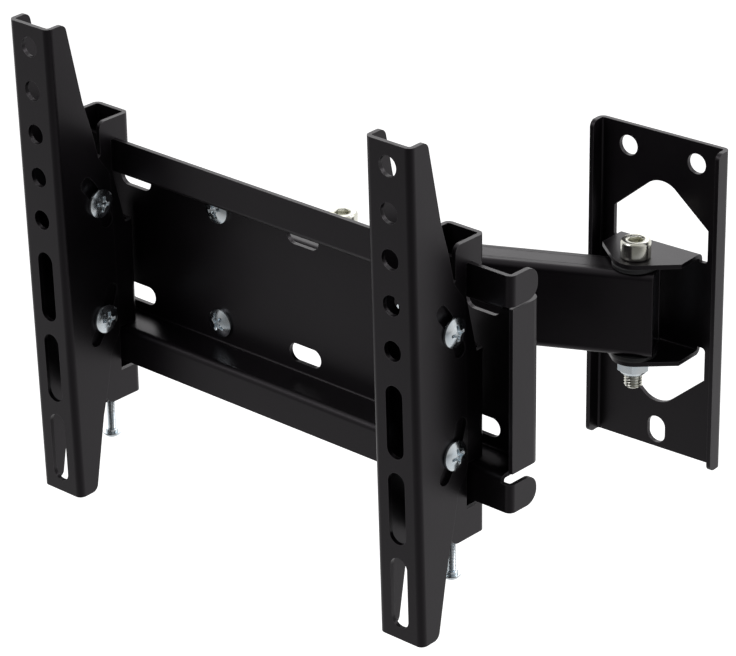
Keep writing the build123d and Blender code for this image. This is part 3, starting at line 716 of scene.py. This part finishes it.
def lock_nuts(node, axis, sizes):
    """Hexagon lock nuts, each turned as its solid is, and their nylon inserts."""
    metal, insert = bmesh.new(), bmesh.new()
    for points in solids(node):
        foot, _ = axis_frame(points, axis)
        back = foot.inverted()
        corner = max((back @ point for point in points), key=lambda place: math.hypot(*place.xy))
        foot = foot @ Matrix.Rotation(math.atan2(corner.y, corner.x), 4, "Z")
        nut_metal(metal, foot, *sizes)
        nut_insert(insert, foot, *sizes)
    finish_piece(node + ".detail", metal, node, ZINC)
    finish_piece(node + ".insert", insert, node, INSERT_NYLON, stands_for=False)


for sheet_name in BLACK_SHEETS:
    dress(sheet_name, BLACK)
for end in ("wall", "head"):
    pivot_bolt(end + "_pivot_bolt")
    lock_nuts(end + "_pivot_nut", -UP, PIVOT_NUT)
    dress(end + "_pivot_discs", DISC_NYLON)
    dress(end + "_pivot_sleeve", ZINC)
pan_screws("head_bracket_screws", PLATE_FRONT)
lock_nuts("head_bracket_nuts", -PLATE_FRONT, PAN_NUT)
for hand in ("left", "right"):
    pan_screws("tilt_bolts_" + hand, ALONG_PLATE)
    lock_nuts("tilt_nuts_" + hand, -ALONG_PLATE, PAN_NUT)
    lock_screw("lock_screw_" + hand)


def seen_rays(nodes, links):
    """1 for rays that the camera sees directly, in a reflection or through glass, else 0."""
    path = nodes.new("ShaderNodeLightPath")
    total = path.outputs["Is Camera Ray"]
    for kind in ("Is Glossy Ray", "Is Transmission Ray"):
        added = math_node(nodes, "ADD")
        added.use_clamp = True
        links.new(total, added.inputs[0])
        links.new(path.outputs[kind], added.inputs[1])
        total = added.outputs[0]
    return total


def backdrop_white(nodes, links, coordinates, fall, to_camera):
    """Brightness that rises towards the backdrop, but is even where the camera sees it directly."""
    place = nodes.new("ShaderNodeTexCoord")
    facing = dot_product(nodes)
    facing.inputs[1].default_value = BACKDROP
    links.new(place.outputs[coordinates], facing.inputs[0])
    span = nodes.new("ShaderNodeMapRange")
    for name, value in zip(("From Min", "From Max", "To Min", "To Max"), fall):
        span.inputs[name].default_value = value
    links.new(facing.outputs["Value"], span.inputs["Value"])
    direct = nodes.new("ShaderNodeLightPath")
    mix = nodes.new("ShaderNodeMix")
    links.new(direct.outputs["Is Camera Ray"], mix.inputs["Factor"])
    links.new(span.outputs["Result"], mix_socket(mix.inputs, "A", "VALUE"))
    mix_socket(mix.inputs, "B", "VALUE").default_value = to_camera
    return mix_socket(mix.outputs, "Result", "VALUE")


def add_floor():
    """Plain white floor below the mount: white to the camera, keeps the shadow, and in reflections
    glows with painted light that is brighter towards the backdrop.
    """
    below = (0, 0, cad_low.z - FLOOR_DROP)
    bpy.ops.mesh.primitive_plane_add(size=FLOOR_SIZE, location=below)
    floor = bpy.context.object
    floor.name = "floor"
    material, nodes, links, shader = new_material("White floor")
    seen = nodes.new("ShaderNodeLightPath").outputs["Is Camera Ray"]
    grey = colour_mix(nodes, links, seen, FLOOR_UNSEEN, FLOOR_SEEN)
    links.new(grey, shader.inputs["Base Color"])
    shader.inputs["Roughness"].default_value = FLOOR_ROUGHNESS
    shader.inputs["Emission Color"].default_value = (1, 1, 1, 1)
    glow = math_node(nodes, "MULTIPLY")
    links.new(seen_rays(nodes, links), glow.inputs[0])
    # Painted light: in reflections the floor glows brighter towards the backdrop
    white = backdrop_white(nodes, links, "Object", FLOOR_FALL, FLOOR_GLOW)
    links.new(white, glow.inputs[1])
    links.new(glow.outputs[0], shader.inputs["Emission Strength"])
    floor.data.materials.append(material)


def add_world():
    """White surroundings: full strength to the camera and in reflections, softer as light."""
    world = bpy.data.worlds.new("Studio")
    bpy.context.scene.world = world
    world.use_nodes = True
    nodes, links = world.node_tree.nodes, world.node_tree.links
    background = nodes["Background"]
    strength = value_mix(nodes, links, seen_rays(nodes, links), AMBIENT, 1)
    links.new(strength, background.inputs["Strength"])
    white = backdrop_white(nodes, links, "Generated", WORLD_FALL, 1)
    links.new(white, background.inputs["Color"])


def add_lamp(name, place, size, power):
    """Soft rectangular lamp at a place, aimed at the mount."""
    data = bpy.data.lights.new(name, "AREA")
    data.shape = "RECTANGLE"
    data.size, data.size_y = size
    data.energy = power
    lamp = bpy.data.objects.new(name, data)
    lamp.location = place
    aim = Vector(LAMP_TARGET) - Vector(place)
    lamp.rotation_euler = aim.to_track_quat("-Z", "Y").to_euler()
    bpy.context.collection.objects.link(lamp)


def add_camera():
    """Camera at the photograph's place, angle and framing."""
    data = bpy.data.cameras.new("Camera")
    data.lens = CAMERA_LENS
    data.sensor_width = SENSOR_WIDTH
    data.sensor_fit = "HORIZONTAL"
    camera = bpy.data.objects.new("Camera", data)
    azimuth, elevation = math.radians(CAMERA_AZIMUTH), math.radians(CAMERA_ELEVATION)
    ahead = math.cos(elevation)
    forward = Vector((-math.sin(azimuth) * ahead, math.cos(azimuth) * ahead, -math.sin(elevation)))
    upright = forward.to_track_quat("-Z", "Y").to_matrix().to_4x4()
    roll = Matrix.Rotation(math.radians(-CAMERA_ROLL), 4, "Z")
    camera.matrix_world = Matrix.Translation(CAMERA_PLACE) @ upright @ roll
    bpy.context.collection.objects.link(camera)
    bpy.context.scene.camera = camera


add_floor()
add_world()
for lamp_facts in LAMPS:
    add_lamp(*lamp_facts)
add_camera()
bpy.context.scene.view_settings.view_transform = "Standard"
